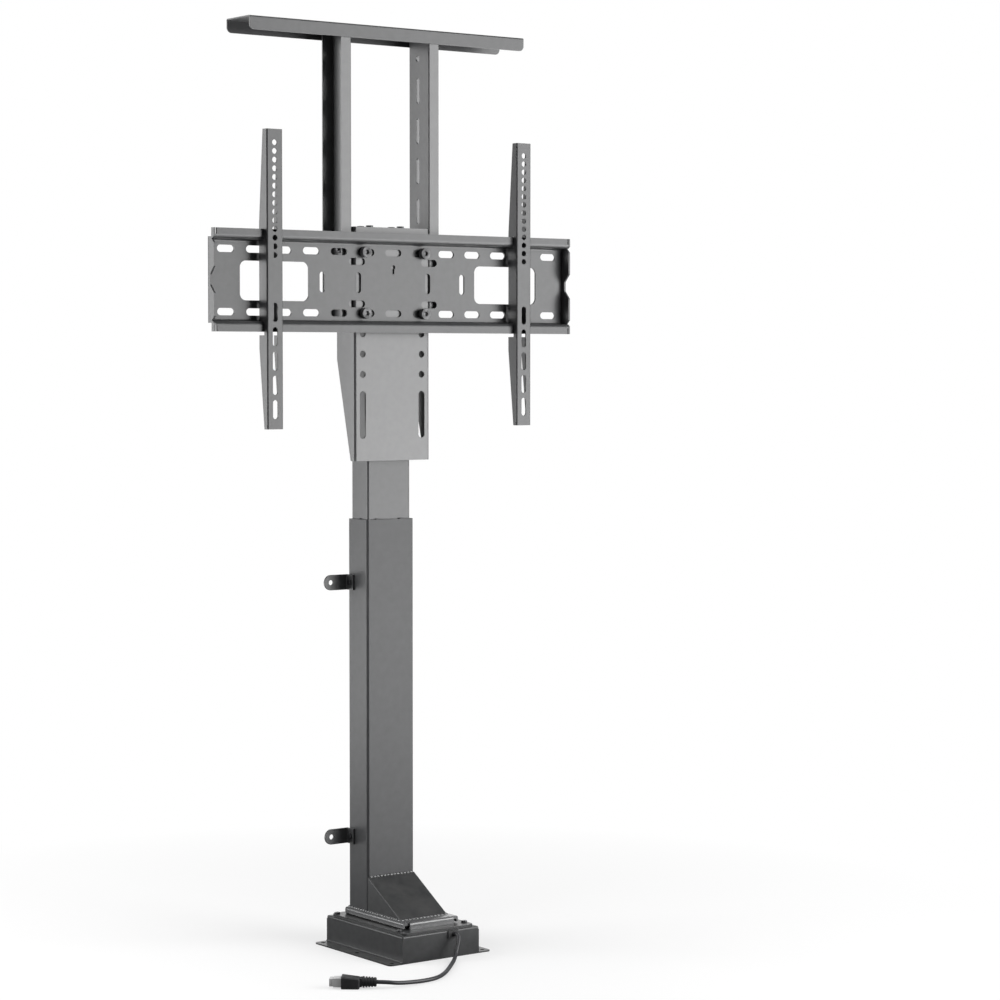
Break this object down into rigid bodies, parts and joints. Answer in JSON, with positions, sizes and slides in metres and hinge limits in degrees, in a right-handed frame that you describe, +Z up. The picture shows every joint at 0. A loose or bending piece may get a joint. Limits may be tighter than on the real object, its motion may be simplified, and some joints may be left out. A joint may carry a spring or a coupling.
{
  "type": "motorized tv mount",
  "caption": "Motorised floor-standing lift column with a folded floor box, a telescoping tube, a slotted screen plate with hook-on arms, and a mast with a lid tray.",
  "frame": {"origin": "the column's axis at the floor, on the underside of the closing plate", "axes": "+Z up along the column, -Y towards the screen side, +X to the right seen from the front"},
  "size_m": [0.652, 0.3288, 1.3995],
  "materials": {
    "black_steel": "satin black powder coat",
    "black_fastener": "black oxide",
    "bright_steel": "turned",
    "motor_steel": "zinc plated",
    "magnet": "sintered",
    "bronze": "machined",
    "cast_alloy": "die cast",
    "black_plastic": "moulded",
    "board": "solder mask",
    "cable_jacket": "satin",
    "black_rubber": "moulded",
    "pale_plastic": "moulded"
  },
  "bodies": {
    "base": {"base_box": "black_steel", "base_lid": "black_steel", "lid_screws": "black_fastener", "bottom_plate": "black_steel", "column_plate": "black_steel", "gusset": "black_steel", "outer_tube": "black_steel", "upper_glide": "black_plastic", "motor_magnets": "magnet", "motor_can": "motor_steel", "motor_end_cap": "black_plastic", "gear_case": "cast_alloy", "gear_cover": "cast_alloy", "gear_case_screws": "black_fastener", "screw_bearing": "bright_steel", "control_housing": "black_plastic", "control_board": "board", "lower_wall_clip": "black_steel", "upper_wall_clip": "black_steel", "clip_screws": "black_fastener", "cable": "cable_jacket", "cable_grommet": "black_rubber", "strain_relief": "black_rubber", "connector_shell": "black_plastic", "connector_insert": "pale_plastic"},
    "screw": {"lifting_screw": "bright_steel", "screw_stop": "bright_steel", "worm_wheel": "bronze"},
    "worm": {"worm_shaft": "bright_steel", "rotor": "motor_steel"},
    "carriage": {"inner_tube": "black_steel", "tube_cap": "black_steel", "lower_glide": "black_plastic", "nut_carrier": "black_plastic", "travelling_nut": "bronze", "carrier_screws": "black_fastener", "head_bracket": "black_steel", "head_bolts": "black_fastener", "screen_plate": "black_steel", "plate_bolts": "black_fastener", "plate_washers": "black_fastener", "plate_nuts": "black_fastener", "mast_spacers": "black_plastic", "mast_bolts": "black_fastener", "mast_washers": "black_fastener", "mast_nuts": "black_fastener"},
    "left_arm": {"left_screen_arm": "black_steel"},
    "right_arm": {"right_screen_arm": "black_steel"},
    "mast": {"left_upright": "black_steel", "right_upright": "black_steel", "tray": "black_steel", "tray_screws": "black_fastener"}
  },
  "joints": [
    {"name": "lift", "type": "slide", "parent": "base", "child": "carriage", "axis": [0, 0, 1], "range_m": [-0.43, 0]},
    {"name": "screw_spin", "type": "hinge", "parent": "base", "child": "screw", "pos_m": [0, 0, 0.02], "axis": [0, 0, 1], "range_deg": [-4, 15484]},
    {"name": "worm_spin", "type": "hinge", "parent": "base", "child": "worm", "pos_m": [0.0203, 0, 0.02], "axis": [0, 1, 0], "range_deg": [-40, 185800]},
    {"name": "left_arm_slide", "type": "slide", "parent": "carriage", "child": "left_arm", "axis": [1, 0, 0], "range_m": [-0.08, 0.145]},
    {"name": "right_arm_slide", "type": "slide", "parent": "carriage", "child": "right_arm", "axis": [1, 0, 0], "range_m": [-0.145, 0.08]},
    {"name": "mast_height", "type": "slide", "parent": "carriage", "child": "mast", "axis": [0, 0, 1], "range_m": [-0.015, 0.015]}
  ],
  "couplings": [
    {"joint": "screw_spin", "follows": "lift", "rad_per_m": -628.32},
    {"joint": "worm_spin", "follows": "lift", "rad_per_m": -7539.8}
  ]
}
